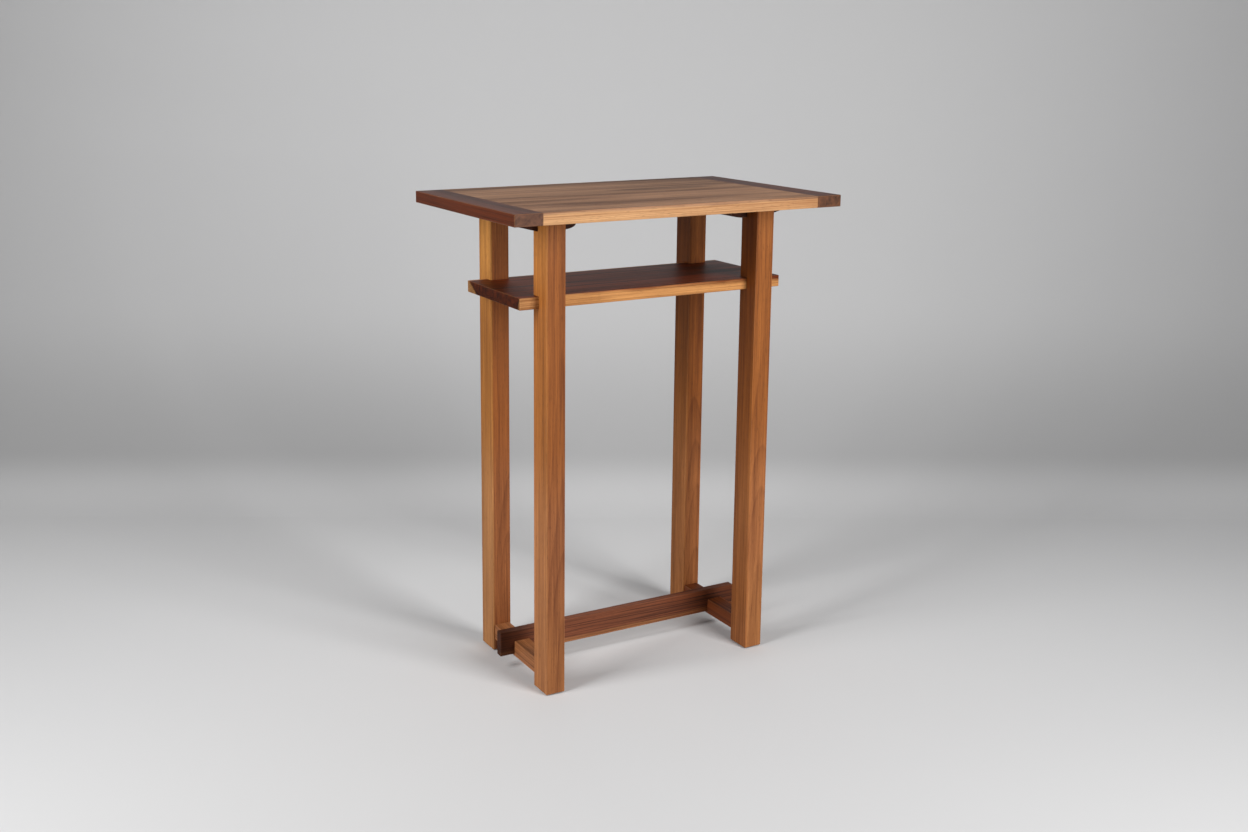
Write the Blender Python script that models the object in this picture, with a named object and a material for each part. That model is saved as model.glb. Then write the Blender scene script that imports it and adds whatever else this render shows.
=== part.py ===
"""Photo album stand: a slender standing-height table with a shelf close under its top.

The top is two edge-joined boards held between walnut breadboard ends. It is screwed down from two
walnut bearers, which sit in notches cut into the tops of the four legs. The shelf slides through
notches in the legs' inner faces. Low down, a stretcher is tenoned between the legs of each end
frame, and one long stretcher on edge is half-lapped over the two of them.

Metres, +Z up. X runs along the top's long side, -Y is the front, and the origin is on the floor
under the middle of the top.
"""

import math

import bmesh
import bpy
from mathutils import Matrix, Vector

# Clearance left between neighbouring pieces.
GAP = 0.0003
# How far a cutter reaches past the face that it opens.
OVERSHOOT = 0.004
# Points of a turned piece closer than this are one point.
WELD = 0.000001
# Faces that meet at more than this angle keep a crisp edge.
CRISP_ANGLE = math.radians(35)

# Whole object.
HEIGHT = 0.914
BOARD_THICKNESS = 0.022

# Top: two boards, tongued together, with a grooved breadboard across each end.
TOP_LENGTH = 0.685
TOP_DEPTH = 0.427
BREADBOARD_WIDTH = 0.0544
TONGUE_THICKNESS = 0.007
EDGE_TONGUE_LENGTH = 0.008
END_TONGUE_LENGTH = 0.020
END_TONGUE_SETBACK = 0.012
JOINT_Y = 0.004

# Legs.
LEG_WIDTH = 0.0385
LEG_DEPTH = 0.0505
LEG_OUTER_X = 0.2438
LEG_OUTER_Y = 0.1396

# Felt pads under the legs.
PAD_RADIUS = 0.009
PAD_THICKNESS = 0.0015
PAD_EDGE_SHARE = 0.3

# Shelf.
SHELF_HALF_LENGTH = 0.2820
SHELF_TOP = 0.7510
SHELF_NOTCH = 0.0215

# Bearers under the top, one over each pair of legs, with rounded-under long edges.
BEARER_HALF_WIDTH = 0.0570
BEARER_FLAT_HALF_WIDTH = 0.0270
BEARER_BEVEL_START = 0.0200
BEARER_THICKNESS = 0.0245
BEARER_EDGE_THICKNESS = 0.0150
BEARER_NOTCH = 0.0180
BEARER_EDGE_STEPS = 6

# Stretchers across each end frame, tenoned into the legs.
CROSS_WIDTH = 0.0319
CROSS_BOTTOM = 0.0239
CROSS_TOP = 0.0547
TENON_WIDTH = 0.0127
TENON_HEIGHT = 0.0220
TENON_LENGTH = 0.0250

# Long stretcher on edge, half-lapped over the cross stretchers.
LONG_HALF_LENGTH = 0.2707
LONG_FRONT_Y = 0.0
LONG_THICKNESS = 0.0159
LONG_BOTTOM = 0.0286
LONG_TOP = 0.0771
LAP_HEIGHT = 0.0416

# Screws that hold the bearers to the top, seen from below.
SCREW_ROWS_Y = (-0.082, -0.030, 0.030, 0.082)
SCREW_LENGTH = 0.0300
SCREW_RADIUS = 0.0021
SCREW_TIP_LENGTH = 0.0050
SCREW_HEAD_RADIUS = 0.0045
SCREW_HEAD_HEIGHT = 0.0030
SCREW_HEAD_RIM = 0.0012
SCREW_DOME_STEPS = 3
SCREW_DRIVE_WIDTH = 0.0026
SCREW_DRIVE_DEPTH = 0.0018
COUNTERBORE_DEPTH = 0.0060
ROUND_STEPS = 24

# Softened arrises.
ARRIS = 0.0012
FOOT_CHAMFER = 0.0010

UNDERSIDE = HEIGHT - BOARD_THICKNESS
BEARER_TOP = UNDERSIDE - GAP
BEARER_BOTTOM = BEARER_TOP - BEARER_THICKNESS
FIELD_HALF_LENGTH = TOP_LENGTH / 2 - BREADBOARD_WIDTH
LEG_INNER_Y = LEG_OUTER_Y - LEG_DEPTH
LEG_CENTRE_X = LEG_OUTER_X - LEG_WIDTH / 2
LEG_CENTRE_Y = LEG_OUTER_Y - LEG_DEPTH / 2
LEG_BOTTOM = PAD_THICKNESS + GAP
SHELF_HALF_DEPTH = LEG_INNER_Y + SHELF_NOTCH - GAP
BEARER_HALF_LENGTH = LEG_INNER_Y + BEARER_NOTCH - GAP

# Every outer edge of a board, named by the two faces that meet there.
ALONG_X = (("-y", "-z"), ("-y", "+z"), ("+y", "-z"), ("+y", "+z"))
ALONG_Y = (("-x", "-z"), ("-x", "+z"), ("+x", "-z"), ("+x", "+z"))
ALONG_Z = (("-x", "-y"), ("-x", "+y"), ("+x", "-y"), ("+x", "+y"))


def clear_scene():
    for item in list(bpy.data.objects):
        bpy.data.objects.remove(item)


def make_material(name, colour, roughness, metallic=0.0):
    material = bpy.data.materials.new(name)
    material.use_nodes = True
    shader = material.node_tree.nodes["Principled BSDF"]
    shader.inputs["Base Color"].default_value = (*colour, 1.0)
    shader.inputs["Roughness"].default_value = roughness
    shader.inputs["Metallic"].default_value = metallic
    return material


def link_mesh(name, mesh, material=None):
    item = bpy.data.objects.new(name, mesh)
    bpy.context.scene.collection.objects.link(item)
    if material:
        mesh.materials.append(material)
    return item


def mesh_from(bm, name):
    bmesh.ops.recalc_face_normals(bm, faces=bm.faces)
    mesh = bpy.data.meshes.new(name)
    bm.to_mesh(mesh)
    bm.free()
    return mesh


def box_bmesh(low, high):
    """A box between two opposite corners."""
    low = Vector(low)
    high = Vector(high)
    bm = bmesh.new()
    bmesh.ops.create_cube(bm, size=1.0)
    bmesh.ops.scale(bm, vec=high - low, verts=bm.verts)
    bmesh.ops.translate(bm, vec=(low + high) / 2, verts=bm.verts)
    return bm


def face_label(face):
    """The outward direction of a box's face, such as +x."""
    axis = max(range(3), key=lambda i: abs(face.normal[i]))
    sign = "+" if face.normal[axis] > 0 else "-"
    return sign + "xyz"[axis]


def soften(bm, edge_names, width, segments=2):
    """Rounds the named edges of a box."""
    wanted = {frozenset(pair) for pair in edge_names}
    edges = [e for e in bm.edges if frozenset(face_label(f) for f in e.link_faces) in wanted]
    bmesh.ops.bevel(bm, geom=edges, offset=width, segments=segments, profile=0.5, affect="EDGES")


def board(name, low, high, material, soft_edges, arris=ARRIS):
    bm = box_bmesh(low, high)
    soften(bm, soft_edges, arris)
    return link_mesh(name, mesh_from(bm, name), material)


def cut(piece, cutter):
    """Cuts a hidden guide solid out of a piece."""
    cutter.hide_render = True
    cutter.display_type = "WIRE"
    modifier = piece.modifiers.new("cut", "BOOLEAN")
    modifier.operation = "DIFFERENCE"
    modifier.solver = "EXACT"
    modifier.object = cutter


def cut_box(piece, low, high):
    cut(piece, link_mesh("guide_box", mesh_from(box_bmesh(low, high), "guide_box")))


def cut_round(piece, centre, radius, bottom, top):
    """Cuts an upright round hole."""
    bm = bmesh.new()
    place = Matrix.Translation((centre[0], centre[1], (bottom + top) / 2))
    bmesh.ops.create_cone(
        bm,
        cap_ends=True,
        segments=ROUND_STEPS,
        radius1=radius,
        radius2=radius,
        depth=top - bottom,
        matrix=place,
    )
    cut(piece, link_mesh("guide_hole", mesh_from(bm, "guide_hole")))


def turned(name, outline, material):
    """Spins an outline of (radius, height) points, both ends of it on the axis, about Z."""
    bm = bmesh.new()
    points = [bm.verts.new((radius, 0.0, height)) for radius, height in outline]
    edges = [bm.edges.new(pair) for pair in zip(points, points[1:])]
    bmesh.ops.spin(
        bm,
        geom=points + edges,
        cent=(0, 0, 0),
        axis=(0, 0, 1),
        angle=math.tau,
        steps=ROUND_STEPS,
        use_merge=True,
    )
    bmesh.ops.remove_doubles(bm, verts=bm.verts, dist=WELD)
    mesh = mesh_from(bm, name)
    mesh.shade_smooth()
    mesh.set_sharp_from_angle(angle=CRISP_ANGLE)
    return link_mesh(name, mesh, material)


def tongue_band(grown=0.0):
    """Lower and upper height of the top's tongues, or of their grooves when grown by a clearance."""
    middle = HEIGHT - BOARD_THICKNESS / 2
    half = TONGUE_THICKNESS / 2 + grown
    return middle - half, middle + half


def cut_shoulders(piece, low, high):
    """Leaves only a tongue between two plan corners, by planing away the board above and below it."""
    tongue_low, tongue_high = tongue_band()
    cut_box(piece, (*low, UNDERSIDE - OVERSHOOT), (*high, tongue_low))
    cut_box(piece, (*low, tongue_high), (*high, HEIGHT + OVERSHOOT))


def cut_end_tongues(piece, front, back):
    """Shapes the two ends of a top board into tongues, set back from the top's long edges."""
    inset = TOP_DEPTH / 2 - END_TONGUE_SETBACK
    past_edge = TOP_DEPTH / 2 + OVERSHOOT
    for side in (-1, 1):
        shoulder = side * FIELD_HALF_LENGTH
        past_tip = side * (FIELD_HALF_LENGTH + END_TONGUE_LENGTH + OVERSHOOT)
        left, right = sorted((shoulder, past_tip))
        cut_shoulders(piece, (left, front - OVERSHOOT), (right, back + OVERSHOOT))
        for low_y, high_y in ((-past_edge, -inset), (inset, past_edge)):
            if low_y < back and high_y > front:
                cut_box(piece, (left, low_y, UNDERSIDE - OVERSHOOT), (right, high_y, HEIGHT + OVERSHOOT))


def drill_pilot_holes(piece, front, back):
    """Pilot holes in a top board for the screws that come up through the bearers."""
    top = BEARER_BOTTOM + COUNTERBORE_DEPTH + SCREW_LENGTH + GAP
    for side in (-1, 1):
        for y in SCREW_ROWS_Y:
            if front < y < back:
                cut_round(piece, (side * LEG_CENTRE_X, y), SCREW_RADIUS + GAP, UNDERSIDE - OVERSHOOT, top)


def make_front_board(material):
    """The front half of the top, grooved along its back edge."""
    reach = FIELD_HALF_LENGTH + END_TONGUE_LENGTH
    edge = TOP_DEPTH / 2
    low = (-reach, -edge, UNDERSIDE)
    high = (reach, JOINT_Y - GAP / 2, HEIGHT)
    piece = board("top_board_front", low, high, material, (("-y", "+z"), ("-y", "-z")))
    groove_low, groove_high = tongue_band(GAP)
    groove_floor = JOINT_Y - EDGE_TONGUE_LENGTH - GAP
    past = reach + OVERSHOOT
    cut_box(piece, (-past, groove_floor, groove_low), (past, JOINT_Y + OVERSHOOT, groove_high))
    cut_end_tongues(piece, -edge, JOINT_Y)
    drill_pilot_holes(piece, -edge, JOINT_Y)


def make_back_board(material):
    """The back half of the top, tongued along its front edge."""
    reach = FIELD_HALF_LENGTH + END_TONGUE_LENGTH
    edge = TOP_DEPTH / 2
    tongue_tip = JOINT_Y - EDGE_TONGUE_LENGTH
    low = (-reach, tongue_tip, UNDERSIDE)
    high = (reach, edge, HEIGHT)
    piece = board("top_board_back", low, high, material, (("+y", "+z"), ("+y", "-z")))
    past = reach + OVERSHOOT
    cut_shoulders(piece, (-past, tongue_tip - OVERSHOOT), (past, JOINT_Y + GAP / 2))
    cut_end_tongues(piece, tongue_tip, edge)
    drill_pilot_holes(piece, JOINT_Y, edge)


def make_breadboard_end(name, side, material):
    """The walnut board across one end of the top, with a blind groove for the tongues."""
    edge = TOP_DEPTH / 2
    inner = side * (FIELD_HALF_LENGTH + GAP)
    outer = side * TOP_LENGTH / 2
    left, right = sorted((inner, outer))
    outer_face = "+x" if side > 0 else "-x"
    outer_edges = tuple((outer_face, other) for other in ("-y", "+y", "-z", "+z"))
    piece = board(name, (left, -edge, UNDERSIDE), (right, edge, HEIGHT), material, ALONG_X + outer_edges)
    mouth = side * (FIELD_HALF_LENGTH - OVERSHOOT)
    floor = side * (FIELD_HALF_LENGTH + END_TONGUE_LENGTH + GAP)
    groove_low, groove_high = tongue_band(GAP)
    groove_end = edge - END_TONGUE_SETBACK + GAP
    left, right = sorted((mouth, floor))
    cut_box(piece, (left, -groove_end, groove_low), (right, groove_end, groove_high))


def make_leg(name, side_x, side_y, material):
    """A leg, notched on its inner face for the bearer and the shelf, and mortised for a stretcher."""
    xs = sorted((side_x * LEG_OUTER_X, side_x * (LEG_OUTER_X - LEG_WIDTH)))
    ys = sorted((side_y * LEG_OUTER_Y, side_y * LEG_INNER_Y))
    bm = box_bmesh((xs[0], ys[0], LEG_BOTTOM), (xs[1], ys[1], BEARER_TOP))
    soften(bm, ALONG_Z, ARRIS)
    foot = [e for e in bm.edges if all(abs(v.co.z - LEG_BOTTOM) < WELD for v in e.verts)]
    bmesh.ops.bevel(bm, geom=foot, offset=FOOT_CHAMFER, segments=1, affect="EDGES")
    leg = link_mesh(name, mesh_from(bm, name), material)

    def cut_inward(half_width, depth, bottom, top):
        """Cuts a pocket of some depth, centred across the leg, into the face that looks inward."""
        centre = side_x * LEG_CENTRE_X
        near, far = sorted((side_y * (LEG_INNER_Y - OVERSHOOT), side_y * (LEG_INNER_Y + depth)))
        cut_box(leg, (centre - half_width, near, bottom), (centre + half_width, far, top))

    across = LEG_WIDTH / 2 + OVERSHOOT
    cut_inward(across, BEARER_NOTCH, BEARER_BOTTOM - GAP, BEARER_TOP + OVERSHOOT)
    cut_inward(across, SHELF_NOTCH, SHELF_TOP - BOARD_THICKNESS - GAP, SHELF_TOP + GAP)
    middle = (CROSS_BOTTOM + CROSS_TOP) / 2
    rise = TENON_HEIGHT / 2 + GAP
    cut_inward(TENON_WIDTH / 2 + GAP, TENON_LENGTH + GAP, middle - rise, middle + rise)


def bearer_outline(side):
    """Cross-section of a bearer as (x, height) from its middle: rounded inwards, bevelled outwards."""
    run = BEARER_HALF_WIDTH - BEARER_FLAT_HALF_WIDTH
    rise = BEARER_THICKNESS - BEARER_EDGE_THICKNESS
    inner = []
    for step in range(BEARER_EDGE_STEPS + 1):
        angle = math.pi / 2 * step / BEARER_EDGE_STEPS
        inner.append((BEARER_FLAT_HALF_WIDTH + run * math.sin(angle), rise * (1 - math.cos(angle))))
    inner.append((BEARER_HALF_WIDTH, BEARER_THICKNESS))
    outer = [(-BEARER_HALF_WIDTH, BEARER_THICKNESS), (-BEARER_HALF_WIDTH, rise), (-BEARER_BEVEL_START, 0)]
    return [(-side * x, height) for x, height in inner + outer]


def make_bearer(name, side, material):
    """A board under the top and across two legs, screwed to the top from counterbores below."""
    centre = side * LEG_CENTRE_X
    bm = bmesh.new()
    outline = []
    for x, height in bearer_outline(side):
        outline.append(bm.verts.new((centre + x, -BEARER_HALF_LENGTH, BEARER_BOTTOM + height)))
    end = bm.faces.new(outline)
    grown = bmesh.ops.extrude_face_region(bm, geom=[end])
    moved = [item for item in grown["geom"] if isinstance(item, bmesh.types.BMVert)]
    bmesh.ops.translate(bm, vec=(0, 2 * BEARER_HALF_LENGTH, 0), verts=moved)
    piece = link_mesh(name, mesh_from(bm, name), material)
    for y in SCREW_ROWS_Y:
        place = (centre, y)
        cut_round(piece, place, SCREW_RADIUS + GAP, BEARER_BOTTOM - OVERSHOOT, BEARER_TOP + OVERSHOOT)
        head = BEARER_BOTTOM + COUNTERBORE_DEPTH
        cut_round(piece, place, SCREW_HEAD_RADIUS + 2 * GAP, BEARER_BOTTOM - OVERSHOOT, head)


def make_screw(name, x, y, material):
    """A pan-head screw pointing up, its head in a bearer's counterbore, with a square drive."""
    dome_rise = SCREW_HEAD_HEIGHT - SCREW_HEAD_RIM
    outline = [
        (0.0, SCREW_LENGTH),
        (SCREW_RADIUS, SCREW_LENGTH - SCREW_TIP_LENGTH),
        (SCREW_RADIUS, 0.0),
        (SCREW_HEAD_RADIUS, 0.0),
    ]
    dome_run = SCREW_HEAD_RADIUS - SCREW_DRIVE_WIDTH
    for step in range(SCREW_DOME_STEPS + 1):
        angle = math.pi / 2 * step / SCREW_DOME_STEPS
        radius = SCREW_DRIVE_WIDTH + dome_run * math.cos(angle)
        outline.append((radius, -SCREW_HEAD_RIM - dome_rise * math.sin(angle)))
    outline.append((0.0, -SCREW_HEAD_HEIGHT))
    screw = turned(name, outline, material)
    seat = BEARER_BOTTOM + COUNTERBORE_DEPTH - GAP
    screw.location = (x, y, seat)
    half = SCREW_DRIVE_WIDTH / 2
    face = seat - SCREW_HEAD_HEIGHT
    cut_box(screw, (x - half, y - half, face - OVERSHOOT), (x + half, y + half, face + SCREW_DRIVE_DEPTH))


def make_cross_stretcher(name, side, material):
    """The low rail between the two legs of one end frame, with a tenon at each end."""
    centre = side * LEG_CENTRE_X
    half_width = CROSS_WIDTH / 2
    shoulder = LEG_INNER_Y - GAP
    reach = LEG_INNER_Y + TENON_LENGTH
    low = (centre - half_width, -reach, CROSS_BOTTOM)
    high = (centre + half_width, reach, CROSS_TOP)
    piece = board(name, low, high, material, ALONG_Y)
    middle = (CROSS_BOTTOM + CROSS_TOP) / 2
    for end in (-1, 1):
        front, back = sorted((end * shoulder, end * (reach + OVERSHOOT)))
        for face in (-1, 1):
            bottom, top = sorted((middle + face * TENON_HEIGHT / 2, middle + face * CROSS_WIDTH))
            cut_box(piece, (low[0] - OVERSHOOT, front, bottom), (high[0] + OVERSHOOT, back, top))
            left, right = sorted((centre + face * TENON_WIDTH / 2, centre + face * CROSS_WIDTH))
            cut_box(piece, (left, front, CROSS_BOTTOM - OVERSHOOT), (right, back, CROSS_TOP + OVERSHOOT))
    cut_box(
        piece,
        (low[0] - OVERSHOOT, LONG_FRONT_Y - GAP, LAP_HEIGHT - GAP),
        (high[0] + OVERSHOOT, LONG_FRONT_Y + LONG_THICKNESS + GAP, CROSS_TOP + OVERSHOOT),
    )


def make_long_stretcher(material):
    low = (-LONG_HALF_LENGTH, LONG_FRONT_Y, LONG_BOTTOM)
    high = (LONG_HALF_LENGTH, LONG_FRONT_Y + LONG_THICKNESS, LONG_TOP)
    piece = board("long_stretcher", low, high, material, ALONG_X + ALONG_Y + ALONG_Z)
    half_width = CROSS_WIDTH / 2 + GAP
    for side in (-1, 1):
        centre = side * LEG_CENTRE_X
        cut_box(
            piece,
            (centre - half_width, low[1] - OVERSHOOT, LONG_BOTTOM - OVERSHOOT),
            (centre + half_width, high[1] + OVERSHOOT, LAP_HEIGHT),
        )


def make_shelf(material):
    low = (-SHELF_HALF_LENGTH, -SHELF_HALF_DEPTH, SHELF_TOP - BOARD_THICKNESS)
    high = (SHELF_HALF_LENGTH, SHELF_HALF_DEPTH, SHELF_TOP)
    board("shelf", low, high, material, ALONG_X + ALONG_Y + ALONG_Z)


def make_pad(name, x, y, material):
    """A round felt pad glued under a leg."""
    edge = PAD_THICKNESS * PAD_EDGE_SHARE
    outline = [
        (0.0, PAD_THICKNESS),
        (PAD_RADIUS, PAD_THICKNESS),
        (PAD_RADIUS, edge),
        (PAD_RADIUS - edge, 0.0),
        (0.0, 0.0),
    ]
    pad = turned(name, outline, material)
    pad.location = (x, y, 0.0)


def main():
    clear_scene()
    top_wood = make_material("top_wood", (0.42, 0.24, 0.12), 0.45)
    walnut = make_material("walnut", (0.12, 0.055, 0.03), 0.42)
    leg_wood = make_material("leg_wood", (0.45, 0.19, 0.07), 0.45)
    steel = make_material("zinc_plated_steel", (0.62, 0.60, 0.55), 0.35, metallic=1.0)
    felt = make_material("felt", (0.03, 0.028, 0.026), 0.95)

    make_front_board(top_wood)
    make_back_board(top_wood)
    make_shelf(walnut)
    make_long_stretcher(walnut)
    for end, side_x in (("left", -1), ("right", 1)):
        make_breadboard_end(f"breadboard_end_{end}", side_x, walnut)
        make_bearer(f"bearer_{end}", side_x, walnut)
        make_cross_stretcher(f"cross_stretcher_{end}", side_x, leg_wood)
        for row, side_y in (("front", -1), ("back", 1)):
            make_leg(f"leg_{row}_{end}", side_x, side_y, leg_wood)
            make_pad(f"foot_pad_{row}_{end}", side_x * LEG_CENTRE_X, side_y * LEG_CENTRE_Y, felt)
        for number, y in enumerate(SCREW_ROWS_Y, start=1):
            make_screw(f"screw_{end}_{number}", side_x * LEG_CENTRE_X, y, steel)


main()
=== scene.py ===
"""Looks of the photo album stand: solid-textured woods, steel and felt, a pale sweep and soft studio light.

Every wooden piece has its own material. The wood is worked out in three dimensions, from rings around
a pith and from fibres along the grain, so that the figure on a face, an edge and an end agree.
"""

import math

import bmesh
import bpy
from mathutils import Euler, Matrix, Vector


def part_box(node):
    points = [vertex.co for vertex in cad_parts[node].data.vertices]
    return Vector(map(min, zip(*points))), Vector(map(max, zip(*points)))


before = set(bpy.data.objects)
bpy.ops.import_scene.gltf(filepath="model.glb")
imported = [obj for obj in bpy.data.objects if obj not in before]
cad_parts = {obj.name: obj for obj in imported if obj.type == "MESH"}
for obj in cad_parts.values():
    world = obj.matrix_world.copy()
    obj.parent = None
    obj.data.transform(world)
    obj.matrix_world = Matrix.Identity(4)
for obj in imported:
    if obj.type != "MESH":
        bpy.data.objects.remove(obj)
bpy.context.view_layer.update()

# Camera, in metres and degrees. Yaw turns from +Y towards +X.
CAMERA_PLACE = (-1.37310, -2.30298, 1.19376)
CAMERA_YAW = 28.233
CAMERA_DIP = 11.469
CAMERA_ROLL = 0.139
CAMERA_LENS = 40.74
CAMERA_SHIFT = (0.0492, -0.0699)

# Two softboxes in front of the stand, one to each side of the camera.
SOFTBOX_DISTANCE = 2.6
SOFTBOX_WIDTH = 1.0
SOFTBOX_HEIGHT = 2.3
SOFTBOX_SPREAD = 150.0
LEFT_BOX_AZIMUTH = 188.0
RIGHT_BOX_AZIMUTH = 286.0
SOFTBOX_ELEVATION = 25.0
LEFT_BOX_WATTS = 44.0
RIGHT_BOX_WATTS = 47.0
AIM_HEIGHT = 0.5
AMBIENT = 0.06

# Floor and backdrop.
FLOOR_RADIUS = 9.0
SWEEP_START = 3.45
SWEEP_RADIUS = 0.75
SWEEP_HEIGHT = 3.6
SWEEP_HALF_WIDTH = 5.0
SWEEP_STEPS = 24

# Painted light and shade on the paper: the floor is painted lighter with distance, then by height the
# sweep's fold is painted dark and the wall above it darker than the floor.
FLOOR_DEPTHS = (-0.5, 0.7)
NEAR_FLOOR_PAINTED_SHADE = (0.86, 0.86, 0.86, 1.0)
FAR_FLOOR_PAINTED_LIGHT = (0.96, 0.96, 0.96, 1.0)
FOLD_RISE = (0.0, 0.08)
FOLD_PAINTED_SHADE = (0.66, 0.66, 0.66, 1.0)
WALL_RISE = (0.10, 0.45)
WALL_PAINTED_SHADE = (0.79, 0.79, 0.79, 1.0)

PAPER_COLOURS = ((226, 226, 226), (223, 223, 224))
PAPER_ROUGHNESS = 0.85

MM = 0.001
X, Y, Z = range(3)

# Where the Mix node keeps its colour sockets.
MIX_FIRST_COLOUR = 6
MIX_SECOND_COLOUR = 7
MIX_COLOUR_RESULT = 2

# How the grain's own axes (along, first across, second across) read from x, y and z.
GRAIN_ORDER = {"x": (X, Y, Z), "y": (Y, X, Z), "z": (Z, X, Y)}

# The wood's noises: cycles a metre along the grain and across it, detail and roughness.
FIBRE_NOISE = (9.0, 420.0, 3.0, 0.6)
STREAK_NOISE = (2.2, 95.0, 3.0, 0.7)
CLOUD_NOISE = (1.2, 11.0, 2.0, 0.5)
SWAY_NOISE = (1.4, 7.0, 1.0, 0.5)
SAP_NOISE = (6.0, 25.0, 3.0, 0.6)
RUBBED_NOISE = (9.0, 60.0, 2.0, 0.5)
PORE_NOISE = (70.0, 1100.0, 1.0, 0.5)
# How far a piece's seed shifts its noises along each of the grain's axes.
SEED_SHIFTS = (3.1, 1.7, 2.3)

# The years' rings: how their widths vary, how sharply late wood darkens and where a year ends.
YEAR_NOISE_SCALE = 0.45
YEAR_UNEVENNESS = 2.2
LATE_WOOD_POWER = 2.2
YEAR_END = (1.0, 0.9)
# How far the early wood lies to the light side, as a share of the rings' strength.
RING_BALANCE = -0.3

# Pores: how much of their noise shows, and their colour.
PORE_RANGE = (0.60, 0.72)
PORE_COLOUR = (30, 16, 10)

# How squarely a face looks along the grain before it counts as end grain.
END_RANGE = (0.7, 0.9)

# Worn arrises: how far the wear reaches and how much its width varies.
ARRIS_REACH = (1.8 * MM, 0.2 * MM)
ARRIS_WANDER = 1 * MM

# What the figure adds to the roughness and to the relief.
FIBRE_ROUGHNESS = 0.16
CLOUD_ROUGHNESS = 0.14
END_ROUGHNESS = 0.12
ARRIS_ROUGHNESS = -0.05
FIBRE_RELIEF = 0.6
PORE_RELIEF = -0.9
RING_RELIEF = 0.25
WOOD_BUMP = (0.35, 0.12 * MM)

# Cycles a metre of the fine noises on the steel and the felt, and their bumps.
STEEL_NOISE_SCALE = 900.0
STEEL_BUMP = (0.2, 0.03 * MM)
FELT_NOISE_SCALE = 2200.0
FELT_BUMP = (0.6, 0.2 * MM)


def srgb(red, green, blue):
    """A colour given in ordinary 0 to 255 display values, as linear RGBA."""

    def linear(value):
        value /= 255
        return value / 12.92 if value <= 0.04045 else ((value + 0.055) / 1.055) ** 2.4

    return (linear(red), linear(green), linear(blue), 1.0)


class Tree:
    """One material's node tree, with short calls for the nodes that the looks use."""

    def __init__(self, name):
        self.material = bpy.data.materials.new(name)
        self.material.use_nodes = True
        self.nodes = self.material.node_tree.nodes
        self.shader = self.nodes["Principled BSDF"]

    def put(self, socket, value):
        """Feeds a socket from another node's output, or sets it to a plain value."""
        if isinstance(value, bpy.types.NodeSocket):
            self.material.node_tree.links.new(value, socket)
        else:
            socket.default_value = value

    def finish(self, **inputs):
        """Sets the shader's sockets by name, with underscores for spaces."""
        for name, value in inputs.items():
            self.put(self.shader.inputs[name.replace("_", " ")], value)
        return self.material

    def math(self, operation, *values):
        node = self.nodes.new("ShaderNodeMath")
        node.operation = operation
        for socket, value in zip(node.inputs, values):
            self.put(socket, value)
        return node.outputs[0]

    def add(self, *values):
        total = values[0]
        for value in values[1:]:
            total = self.math("ADD", total, value)
        return total

    def scaled(self, value, factor, offset=0.0):
        return self.math("MULTIPLY_ADD", value, factor, offset)

    def vector(self, *parts):
        node = self.nodes.new("ShaderNodeCombineXYZ")
        for socket, value in zip(node.inputs, parts):
            self.put(socket, value)
        return node.outputs[0]

    def parts(self, vector):
        node = self.nodes.new("ShaderNodeSeparateXYZ")
        self.put(node.inputs[0], vector)
        return list(node.outputs)

    def place(self):
        """The surface point, in the row frame."""
        return self.nodes.new("ShaderNodeTexCoord").outputs["Object"]

    def normal(self):
        return self.nodes.new("ShaderNodeNewGeometry").outputs["True Normal"]

    def noise(self, vector, detail=2.0, roughness=0.5):
        node = self.nodes.new("ShaderNodeTexNoise")
        self.put(node.inputs["Vector"], vector)
        self.put(node.inputs["Scale"], 1.0)
        self.put(node.inputs["Detail"], detail)
        self.put(node.inputs["Roughness"], roughness)
        return node.outputs

    def even_noise(self, scale, detail, roughness=0.5):
        """Noise that is as fine in every direction, with its scale in cycles a metre."""
        spread = self.vector(*(self.scaled(part, scale) for part in self.parts(self.place())))
        return self.noise(spread, detail, roughness)["Fac"]

    def swing(self, value, size):
        """A 0 to 1 value as a change of the given size about nothing."""
        return self.scaled(value, size, -size / 2)

    def fade(self, value, low, high):
        """0 below low and 1 above high, or the other way round, with a smooth step between."""
        node = self.nodes.new("ShaderNodeMapRange")
        node.interpolation_type = "SMOOTHSTEP"
        rising = low < high
        self.put(node.inputs["Value"], value)
        self.put(node.inputs["From Min"], min(low, high))
        self.put(node.inputs["From Max"], max(low, high))
        self.put(node.inputs["To Min"], 0.0 if rising else 1.0)
        self.put(node.inputs["To Max"], 1.0 if rising else 0.0)
        return node.outputs[0]

    def blend(self, share, first, second, mode="MIX"):
        node = self.nodes.new("ShaderNodeMix")
        node.data_type = "RGBA"
        node.blend_type = mode
        self.put(node.inputs["Factor"], share)
        self.put(node.inputs[MIX_FIRST_COLOUR], first)
        self.put(node.inputs[MIX_SECOND_COLOUR], second)
        return node.outputs[MIX_COLOUR_RESULT]

    def bump(self, height, strength, distance):
        node = self.nodes.new("ShaderNodeBump")
        self.put(node.inputs["Strength"], strength)
        self.put(node.inputs["Distance"], distance)
        self.put(node.inputs["Height"], height)
        return node.outputs[0]


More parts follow.
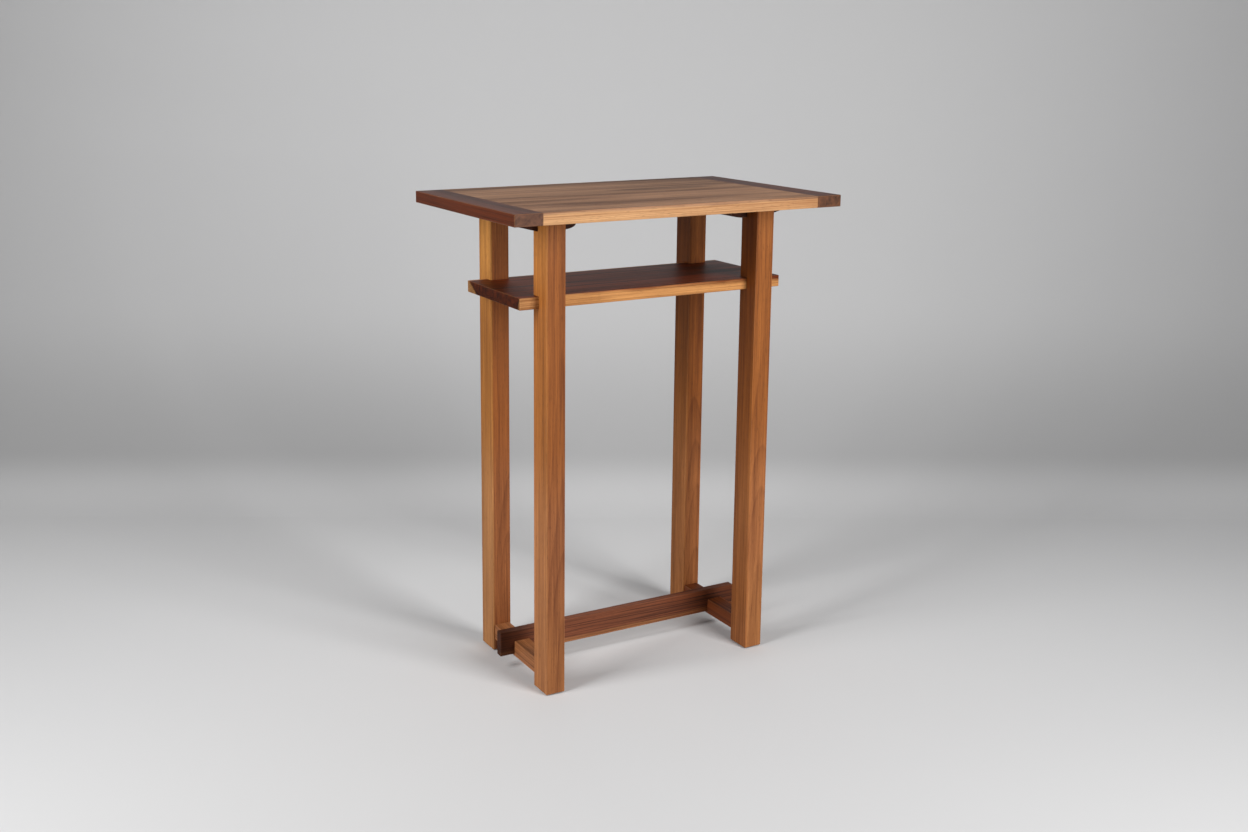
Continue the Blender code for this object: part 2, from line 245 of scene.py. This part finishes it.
class Wood:
    """The solid wood of one piece: its figure, its sapwood, its end grain and its worn arrises."""

    # Defaults, which a piece's own settings override. The grain runs along this axis.
    grain = "x"
    seed = 0.0
    # The pith's place across the grain, a year's width, the pith's lean along the piece and its wander.
    pith = (-0.30, -0.18)
    ring = 3.2 * MM
    lean = (0.006, 0.0)
    sway = 5 * MM
    # How much each part of the figure moves the colour from its light shade to its dark one.
    ring_strength = 0.5
    fibre_strength = 0.9
    streak_strength = 1.5
    cloud_strength = 0.9
    # Light and dark shades of heartwood and sapwood, and how they change along the piece; some of these
    # changes are painted light and shade.
    heart = (srgb(120, 90, 70), srgb(80, 50, 35))
    sap = (srgb(205, 160, 115), srgb(170, 115, 70))
    sap_edges = ()
    drifts = ()
    sap_drifts = ()
    end_tint = (0.55, 0.50, 0.48, 1.0)
    pore_strength = 0.35
    wear = 0.14
    worn = srgb(205, 150, 105)
    gloss = 0.58
    specular = 0.2

    def __init__(self, name, node, **settings):
        for key, value in settings.items():
            setattr(self, key, value)
        self.tree = Tree(name)
        self.low, self.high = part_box(node)

    def coordinates(self):
        tree = self.tree
        self.xyz = tree.parts(tree.place())
        self.along, self.across, self.up = (self.xyz[i] for i in GRAIN_ORDER[self.grain])

    def grained(self, along, across, detail, roughness):
        """Noise that is drawn out along the grain, with its two scales in cycles a metre."""
        tree = self.tree
        axes = zip((self.along, self.across, self.up), (along, across, across), SEED_SHIFTS)
        shifted = tree.vector(*(tree.scaled(axis, scale, self.seed * shift) for axis, scale, shift in axes))
        return tree.noise(shifted, detail, roughness)

    def rings(self):
        """How late in its year the wood at this point grew, from 0 to 1."""
        tree = self.tree
        sways = tree.parts(self.grained(*SWAY_NOISE)["Color"])
        squares = []
        for place, sway, pith, lean in zip((self.across, self.up), sways, self.pith, self.lean):
            offset = tree.add(place, -pith - self.sway, tree.scaled(sway, 2 * self.sway))
            offset = tree.add(offset, tree.scaled(self.along, lean))
            squares.append(tree.math("POWER", offset, 2.0))
        years = tree.scaled(tree.math("SQRT", tree.add(*squares)), 1 / self.ring)
        widths = tree.vector(tree.scaled(years, YEAR_NOISE_SCALE), self.seed, 0.0)
        uneven = tree.noise(widths, 1.0)["Fac"]
        year = tree.math("FRACT", tree.add(years, tree.scaled(uneven, YEAR_UNEVENNESS)))
        late = tree.math("POWER", year, LATE_WOOD_POWER)
        return tree.math("MULTIPLY", late, tree.fade(year, *YEAR_END))

    def sapwood(self):
        """Share of sapwood, outside one or more wavy planes: each (normal, offset, softness, wave)."""
        tree = self.tree
        share = 0.0
        along, *others = SAP_NOISE
        for number, (normal, offset, softness, wave) in enumerate(self.sap_edges):
            waves = self.grained(along + number, *others)["Fac"]
            terms = [tree.scaled(part, n) for part, n in zip(self.xyz, normal) if n]
            depth = tree.add(*terms, tree.scaled(waves, 2 * wave, -offset - wave))
            share = tree.math("MAXIMUM", share, tree.fade(depth, -softness, softness))
        return share

    def drifted(self, colour, drifts):
        """The colour, changing along the piece; each drift is (axis, start, stop, tint), and some drifts
        are painted light and shade.
        """
        for axis, start, stop, tint in drifts:
            share = self.tree.fade(self.xyz[axis], start, stop)
            colour = self.tree.blend(share, colour, tint, "MULTIPLY")
        return colour

    def arris(self):
        """1 on the outer arrises of the piece's box, falling to 0 a few millimetres away."""
        tree = self.tree
        depths = []
        for part, low, high in zip(self.xyz, self.low, self.high):
            off_centre = tree.math("ABSOLUTE", tree.add(part, -(low + high) / 2))
            depths.append(tree.scaled(off_centre, -1.0, (high - low) / 2))
        nearer = tree.math("MINIMUM", depths[0], depths[1])
        farther = tree.math("MAXIMUM", depths[0], depths[1])
        middle = tree.math("MAXIMUM", nearer, tree.math("MINIMUM", farther, depths[2]))
        rubbed = self.grained(*RUBBED_NOISE)["Fac"]
        return tree.fade(tree.add(middle, tree.swing(rubbed, 2 * ARRIS_WANDER)), *ARRIS_REACH)

    def end_grain(self):
        """1 on faces that look along the grain."""
        tree = self.tree
        facing = tree.nodes.new("ShaderNodeVectorMath")
        facing.operation = "DOT_PRODUCT"
        tree.put(facing.inputs[0], tree.normal())
        facing.inputs[1].default_value = [float(i == GRAIN_ORDER[self.grain][0]) for i in (X, Y, Z)]
        return tree.fade(tree.math("ABSOLUTE", facing.outputs["Value"]), *END_RANGE)

    def make(self):
        tree = self.tree
        self.coordinates()
        late = self.rings()
        fibre = self.grained(*FIBRE_NOISE)["Fac"]
        streak = self.grained(*STREAK_NOISE)["Fac"]
        cloud = self.grained(*CLOUD_NOISE)["Fac"]
        shade = tree.add(
            0.5,
            tree.scaled(late, self.ring_strength, RING_BALANCE * self.ring_strength),
            tree.swing(fibre, self.fibre_strength),
            tree.swing(streak, self.streak_strength),
            tree.swing(cloud, self.cloud_strength),
        )
        shade = tree.math("MINIMUM", tree.math("MAXIMUM", shade, 0.0), 1.0)
        colour = self.drifted(tree.blend(shade, *self.heart), self.drifts)
        if self.sap_edges:
            sap = self.drifted(tree.blend(shade, *self.sap), self.sap_drifts)
            colour = tree.blend(self.sapwood(), colour, sap)
        pores = tree.fade(self.grained(*PORE_NOISE)["Fac"], *PORE_RANGE)
        colour = tree.blend(tree.scaled(pores, self.pore_strength), colour, srgb(*PORE_COLOUR))
        end = self.end_grain()
        colour = tree.blend(end, colour, tree.blend(1.0, colour, self.end_tint, "MULTIPLY"))
        edge = self.arris()
        colour = tree.blend(tree.scaled(edge, self.wear), colour, self.worn)
        rough = tree.add(
            self.gloss,
            tree.swing(fibre, FIBRE_ROUGHNESS),
            tree.swing(cloud, CLOUD_ROUGHNESS),
            tree.scaled(end, END_ROUGHNESS),
            tree.scaled(edge, ARRIS_ROUGHNESS),
        )
        relief = tree.add(
            tree.scaled(fibre, FIBRE_RELIEF),
            tree.scaled(pores, PORE_RELIEF),
            tree.scaled(late, RING_RELIEF),
        )
        return tree.finish(
            Base_Color=colour,
            Roughness=rough,
            Normal=tree.bump(relief, *WOOD_BUMP),
            Specular_IOR_Level=self.specular,
        )


def dress(node, material):
    """Gives a CAD node its material."""
    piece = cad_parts[node]
    piece.data.materials.clear()
    piece.data.materials.append(material)


def dress_top():
    front_heart = (srgb(188, 140, 104), srgb(77, 46, 30))
    back_heart = (srgb(174, 130, 97), srgb(72, 43, 28))
    honey = (srgb(216, 166, 116), srgb(146, 94, 56))
    low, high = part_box("top_board_front")
    front = Wood(
        "top_front_wood",
        "top_board_front",
        seed=1.0,
        heart=front_heart,
        sap=honey,
        pith=(0.12, high.z - 0.55),
        streak_strength=1.2,
        cloud_strength=2.0,
        sap_edges=(
            ((0.0, -1.0, -0.35), -low.y - 0.35 * high.z + 1.5 * MM, 0.8 * MM, 2.0 * MM),
            ((0.008, 1.0, 0.0), high.y - 1.0 * MM, 1.0 * MM, 0.8 * MM),
        ),
    )
    dress("top_board_front", front.make())
    back = Wood(
        "top_back_wood",
        "top_board_back",
        seed=2.0,
        heart=back_heart,
        pith=(0.05, high.z - 0.42),
        streak_strength=1.1,
        cloud_strength=2.0,
    )
    dress("top_board_back", back.make())
    ends = {
        "left": (3.0, (srgb(100, 44, 17), srgb(26, 10, 4))),
        "right": (4.0, (srgb(105, 44, 14), srgb(28, 10, 3))),
    }
    for side, (seed, heart) in ends.items():
        low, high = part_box(f"breadboard_end_{side}")
        wood = Wood(
            f"breadboard_{side}_wood",
            f"breadboard_end_{side}",
            grain="y",
            seed=seed,
            heart=heart,
            # Painted shade: each end board is darkened at its low x face and the first three millimetres
            # beside it.
            drifts=((X, low.x + 3 * MM, low.x + 0.5 * MM, (0.80, 0.76, 0.58, 1.0)),),
            pith=((low.x + high.x) / 2 + 0.1, high.z - 0.12),
            end_tint=(1.30, 2.8, 7.0, 1.0),
            cloud_strength=2.2,
            streak_strength=2.0,
            gloss=0.48,
        )
        dress(f"breadboard_end_{side}", wood.make())


def dress_legs():
    """Four legs, each with its own wood. The tints change with height: the paler tops under the table top
    are painted light, the darker tops of the right legs' sapwood are painted shade, and the golden upper
    halves are partly the wood's tone and partly painted shade.
    """
    # Golden upper half: partly the wood's own tone, partly painted shade.
    golden_and_painted_shade = (Z, 0.30, 0.50, (0.90, 0.80, 0.48, 1.0))
    # Painted light: paler towards the top, under the table top.
    painted_light_top = (Z, 0.78, 0.90, (1.42, 1.58, 1.95, 1.0))
    pale_foot = (Z, 0.24, 0.06, (1.16, 1.26, 1.20, 1.0))
    # Painted light on the sapwood, paler towards the top; the second one is stronger and starts lower.
    sap_painted_light_top = (Z, 0.72, 0.86, (1.40, 1.55, 1.70, 1.0))
    sap_stronger_painted_light_top = (Z, 0.62, 0.84, (1.60, 1.85, 2.15, 1.0))
    # Painted shade on the sapwood: darker towards the top, under the table top.
    sap_painted_shade_top = (Z, 0.40, 0.86, (0.64, 0.54, 0.36, 1.0))
    looks = {
        "leg_front_left": dict(
            seed=5.0,
            heart=(srgb(168, 104, 60), srgb(92, 44, 21)),
            sap=(srgb(184, 120, 70), srgb(112, 66, 34)),
            drifts=(golden_and_painted_shade, painted_light_top, pale_foot),
            sap_drifts=(golden_and_painted_shade, sap_painted_light_top),
        ),
        "leg_front_right": dict(
            seed=6.0,
            heart=(srgb(180, 114, 66), srgb(104, 54, 25)),
            sap=(srgb(180, 112, 58), srgb(108, 57, 24)),
            drifts=(golden_and_painted_shade, painted_light_top, pale_foot),
            sap_drifts=(golden_and_painted_shade, sap_painted_shade_top),
        ),
        "leg_back_left": dict(
            seed=7.0,
            heart=(srgb(164, 99, 54), srgb(88, 41, 18)),
            sap=(srgb(180, 123, 72), srgb(115, 70, 34)),
            drifts=(golden_and_painted_shade, painted_light_top),
            sap_drifts=(golden_and_painted_shade, sap_stronger_painted_light_top),
        ),
        "leg_back_right": dict(
            seed=8.0,
            heart=(srgb(176, 108, 58), srgb(98, 50, 21)),
            sap=(srgb(180, 116, 62), srgb(108, 58, 24)),
            drifts=(golden_and_painted_shade, painted_light_top),
            sap_drifts=(golden_and_painted_shade, sap_painted_shade_top),
        ),
    }
    for node, look in looks.items():
        low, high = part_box(node)
        wood = Wood(
            f"{node}_wood",
            node,
            grain="z",
            pith=((low.x + high.x) / 2 + 12 * MM, low.y + 0.11),
            ring=3.6 * MM,
            sway=14 * MM,
            lean=(0.006, -0.018),
            ring_strength=0.26,
            sap_edges=(((-1.0, 0.0, 0.0), -low.x - 3.0 * MM, 1.0 * MM, 1.0 * MM),),
            **look,
        )
        dress(node, wood.make())


def dress_shelf():
    low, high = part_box("shelf")
    wood = Wood(
        "shelf_wood",
        "shelf",
        seed=9.0,
        heart=(srgb(137, 60, 23), srgb(36, 13, 4)),
        drifts=(
            (X, -0.20, -0.26, (0.74, 0.68, 0.54, 1.0)),
            (X, 0.02, 0.22, (0.82, 0.74, 0.60, 1.0)),
        ),
        sap_drifts=((X, -0.22, -0.26, (0.82, 0.84, 0.92, 1.0)),),
        sap=(srgb(218, 156, 94), srgb(140, 86, 42)),
        pith=(-0.02, high.z - 0.3),
        gloss=0.48,
        specular=0.12,
        streak_strength=2.2,
        end_tint=(0.50, 0.50, 0.46, 1.0),
        sap_edges=(
            ((-0.006, -1.0, -0.30), -low.y - 0.30 * high.z + 0.8 * MM, 1.6 * MM, 2.4 * MM),
            ((0.0, 1.0, -1.6), high.y - 1.6 * high.z - 6 * MM, 4.0 * MM, 3.0 * MM),
        ),
    )
    dress("shelf", wood.make())


def dress_rails():
    low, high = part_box("long_stretcher")
    wood = Wood(
        "long_stretcher_wood",
        "long_stretcher",
        seed=10.0,
        heart=(srgb(148, 84, 54), srgb(62, 32, 20)),
        sap=(srgb(178, 118, 74), srgb(104, 60, 34)),
        # Darker towards both ends: partly the wood's own colour, partly painted shadow of the front legs.
        drifts=(
            (X, -0.17, -0.23, (0.34, 0.27, 0.18, 1.0)),
            (X, 0.06, 0.19, (0.68, 0.54, 0.34, 1.0)),
        ),
        # The same darkening on the sapwood, partly painted shadow of the front legs.
        sap_drifts=(
            (X, -0.17, -0.23, (0.30, 0.25, 0.20, 1.0)),
            (X, 0.10, 0.20, (0.92, 0.78, 0.55, 1.0)),
        ),
        wear=0.04,
        pith=(0.2, high.z + 0.1),
        sap_edges=(((0.0, 0.0, -1.0), -low.z - 9 * MM, 3 * MM, 4 * MM),),
    )
    dress("long_stretcher", wood.make())
    rails = {
        "left": (11.0, (srgb(164, 106, 64), srgb(92, 50, 26))),
        # The right rail's darker heartwood is partly painted shadow of the front left leg.
        "right": (12.0, (srgb(126, 63, 25), srgb(64, 27, 9))),
    }
    for side, (seed, heart) in rails.items():
        rail = Wood(
            f"cross_stretcher_{side}_wood",
            f"cross_stretcher_{side}",
            grain="y",
            seed=seed,
            heart=heart,
            pith=(0.1, -0.2),
        )
        dress(f"cross_stretcher_{side}", rail.make())
        bearer = Wood(
            f"bearer_{side}_wood",
            f"bearer_{side}",
            grain="y",
            seed=seed + 2,
            heart=(srgb(100, 56, 38), srgb(48, 24, 16)),
            pith=(0.1, 0.7),
        )
        dress(f"bearer_{side}", bearer.make())


def steel():
    """Zinc-plated steel, a little uneven in tone and shine."""
    tree = Tree("zinc_plated_steel")
    cloud = tree.even_noise(STEEL_NOISE_SCALE, 3.0)
    colour = tree.blend(cloud, srgb(196, 192, 180), srgb(150, 148, 142))
    return tree.finish(
        Base_Color=colour,
        Metallic=1.0,
        Roughness=tree.scaled(cloud, 0.25, 0.22),
        Normal=tree.bump(cloud, *STEEL_BUMP),
    )


def felt():
    """Dark pressed felt, with a tangle of fibres."""
    tree = Tree("pressed_felt")
    tangle = tree.even_noise(FELT_NOISE_SCALE, 4.0, 0.7)
    return tree.finish(
        Base_Color=tree.blend(tangle, srgb(28, 24, 22), srgb(70, 62, 56)),
        Roughness=tree.scaled(tangle, 0.1, 0.88),
        Normal=tree.bump(tangle, *FELT_BUMP),
        Sheen_Weight=0.3,
    )


def dress_hardware():
    metal = steel()
    pad = felt()
    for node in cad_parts:
        if node.startswith("screw_"):
            dress(node, metal)
        if node.startswith("foot_pad_"):
            dress(node, pad)


def view_direction():
    """The camera's heading over the floor."""
    yaw = math.radians(CAMERA_YAW)
    return Vector((math.sin(yaw), math.cos(yaw), 0.0))


def make_camera():
    data = bpy.data.cameras.new("camera")
    data.lens = CAMERA_LENS
    data.sensor_width = 36.0
    data.shift_x, data.shift_y = CAMERA_SHIFT
    camera = bpy.data.objects.new("camera", data)
    bpy.context.scene.collection.objects.link(camera)
    camera.location = CAMERA_PLACE
    turn = Euler((math.radians(90 - CAMERA_DIP), 0.0, math.radians(-CAMERA_YAW)), "XYZ").to_matrix()
    roll = Euler((0.0, 0.0, math.radians(CAMERA_ROLL)), "XYZ").to_matrix()
    camera.rotation_euler = (turn @ roll).to_euler("XYZ")
    bpy.context.scene.camera = camera


def softbox(name, azimuth, watts):
    """An upright rectangular light that faces the stand."""
    data = bpy.data.lights.new(name, "AREA")
    data.shape = "RECTANGLE"
    data.size = SOFTBOX_WIDTH
    data.size_y = SOFTBOX_HEIGHT
    data.spread = math.radians(SOFTBOX_SPREAD)
    data.energy = watts
    light = bpy.data.objects.new(name, data)
    bpy.context.scene.collection.objects.link(light)
    aim = Vector((0.0, 0.0, AIM_HEIGHT))
    around, rise = math.radians(azimuth), math.radians(SOFTBOX_ELEVATION)
    towards = Vector((math.cos(around) * math.cos(rise), math.sin(around) * math.cos(rise), math.sin(rise)))
    light.location = aim + SOFTBOX_DISTANCE * towards
    light.rotation_euler = towards.to_track_quat("Z", "Y").to_euler()


def paper():
    """Matt pale grey, a little uneven, seen from its front only, with painted light and shade: lighter over
    the floor with distance, darkest in the fold, darker on the wall.
    """
    tree = Tree("pale_backdrop")
    place = tree.place()
    cloud = tree.noise(place, 3.0)["Fac"]
    colour = tree.blend(cloud, *(srgb(*shade) for shade in PAPER_COLOURS))
    east, north, rise = tree.parts(place)
    heading = view_direction()
    depth = tree.add(tree.scaled(east, heading.x), tree.scaled(north, heading.y))
    # Painted light and shade, multiplied into the paper's colour below.
    painted_shade = tree.blend(tree.fade(depth, *FLOOR_DEPTHS), NEAR_FLOOR_PAINTED_SHADE, FAR_FLOOR_PAINTED_LIGHT)
    painted_shade = tree.blend(tree.fade(rise, *FOLD_RISE), painted_shade, FOLD_PAINTED_SHADE)
    painted_shade = tree.blend(tree.fade(rise, *WALL_RISE), painted_shade, WALL_PAINTED_SHADE)
    colour = tree.blend(1.0, colour, painted_shade, "MULTIPLY")
    material = tree.finish(Base_Color=colour, Roughness=PAPER_ROUGHNESS)
    behind = tree.nodes.new("ShaderNodeNewGeometry").outputs["Backfacing"]
    mix = tree.nodes.new("ShaderNodeMixShader")
    clear = tree.nodes.new("ShaderNodeBsdfTransparent")
    tree.put(mix.inputs[0], behind)
    tree.put(mix.inputs[1], tree.shader.outputs[0])
    tree.put(mix.inputs[2], clear.outputs[0])
    tree.put(tree.nodes["Material Output"].inputs[0], mix.outputs[0])
    return material


def stage_mesh(name, bm, material):
    mesh = bpy.data.meshes.new(name)
    bm.to_mesh(mesh)
    bm.free()
    mesh.materials.append(material)
    mesh.shade_smooth()
    piece = bpy.data.objects.new(name, mesh)
    bpy.context.scene.collection.objects.link(piece)


def make_stage():
    material = paper()
    floor = bmesh.new()
    bmesh.ops.create_circle(floor, cap_ends=True, segments=96, radius=FLOOR_RADIUS)
    stage_mesh("floor", floor, material)

    heading = view_direction()
    side = Vector((heading.y, -heading.x, 0.0))
    start = Vector((CAMERA_PLACE[0], CAMERA_PLACE[1], 0.0)) + heading * SWEEP_START
    profile = [(0.0, 0.0)]
    for step in range(1, SWEEP_STEPS + 1):
        angle = math.pi / 2 * step / SWEEP_STEPS
        profile.append((SWEEP_RADIUS * math.sin(angle), SWEEP_RADIUS * (1 - math.cos(angle))))
    profile.append((SWEEP_RADIUS, SWEEP_HEIGHT))
    sweep = bmesh.new()
    rows = []
    for run, rise in profile:
        point = start + heading * run + Vector((0.0, 0.0, rise))
        rows.append([sweep.verts.new(point + side * end * SWEEP_HALF_WIDTH) for end in (-1, 1)])
    for lower, upper in zip(rows, rows[1:]):
        sweep.faces.new((lower[0], lower[1], upper[1], upper[0]))
    stage_mesh("backdrop", sweep, material)


def make_world():
    world = bpy.data.worlds.new("studio")
    world.use_nodes = True
    back = world.node_tree.nodes["Background"]
    back.inputs["Color"].default_value = (1.0, 1.0, 1.0, 1.0)
    back.inputs["Strength"].default_value = AMBIENT
    bpy.context.scene.world = world
    bpy.context.scene.view_settings.view_transform = "Standard"


make_camera()
make_stage()
make_world()
softbox("left_softbox", LEFT_BOX_AZIMUTH, LEFT_BOX_WATTS)
softbox("right_softbox", RIGHT_BOX_AZIMUTH, RIGHT_BOX_WATTS)
dress_top()
dress_legs()
dress_shelf()
dress_rails()
dress_hardware()
